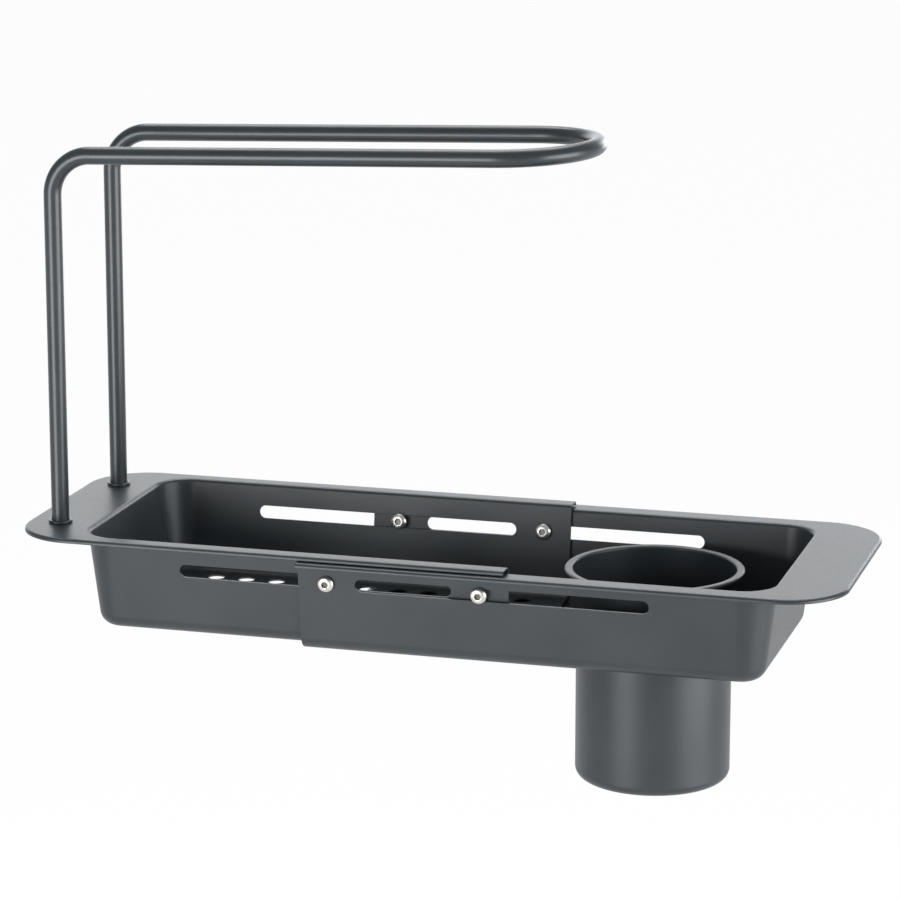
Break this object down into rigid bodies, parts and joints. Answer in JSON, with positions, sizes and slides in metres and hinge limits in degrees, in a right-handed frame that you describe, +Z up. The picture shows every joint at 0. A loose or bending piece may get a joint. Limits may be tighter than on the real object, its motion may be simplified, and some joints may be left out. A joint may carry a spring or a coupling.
{
  "type": "expandable sink rack",
  "caption": "Sheet-metal tray in two nested halves that slide to span a sink, with drain holes, a towel bar and a lift-out utensil cup.",
  "frame": {"origin": "on the plane of the sink rim, under the left end flange, midway between the towel bar's two feet", "axes": "+X along the rack towards the half that pulls out, +Y from front to back, +Z up"},
  "size_m": [0.379, 0.138, 0.2888],
  "materials": {
    "coated_sheet": "satin anthracite powder coat",
    "coated_tube": "satin anthracite powder coat",
    "stainless": "bright stainless",
    "pad": "matte silicone"
  },
  "bodies": {
    "fixed_half": {"left_tray": "coated_sheet", "towel_bar": "coated_tube", "bar_collar_front": "coated_tube", "bar_collar_back": "coated_tube", "bar_insert_front": "stainless", "bar_insert_back": "stainless", "bar_washer_front": "stainless", "bar_washer_back": "stainless", "bar_screw_front": "stainless", "bar_screw_back": "stainless", "left_guide_barrel_front": "stainless", "left_guide_barrel_back": "stainless", "left_guide_screw_front": "stainless", "left_guide_screw_back": "stainless", "left_rest_pad": "pad"},
    "sliding_half": {"right_tray": "coated_sheet", "right_guide_barrel_front": "stainless", "right_guide_barrel_back": "stainless", "right_guide_screw_front": "stainless", "right_guide_screw_back": "stainless", "right_rest_pad": "pad"},
    "lift_out_cup": {"cup": "coated_sheet"}
  },
  "joints": [
    {"name": "pull_out", "type": "slide", "parent": "fixed_half", "child": "sliding_half", "axis": [1, 0, 0], "range_m": [-0.0148, 0.054]},
    {"name": "cup_lift", "type": "slide", "parent": "sliding_half", "child": "lift_out_cup", "axis": [0, 0, 1], "range_m": [0, 0.12]}
  ]
}
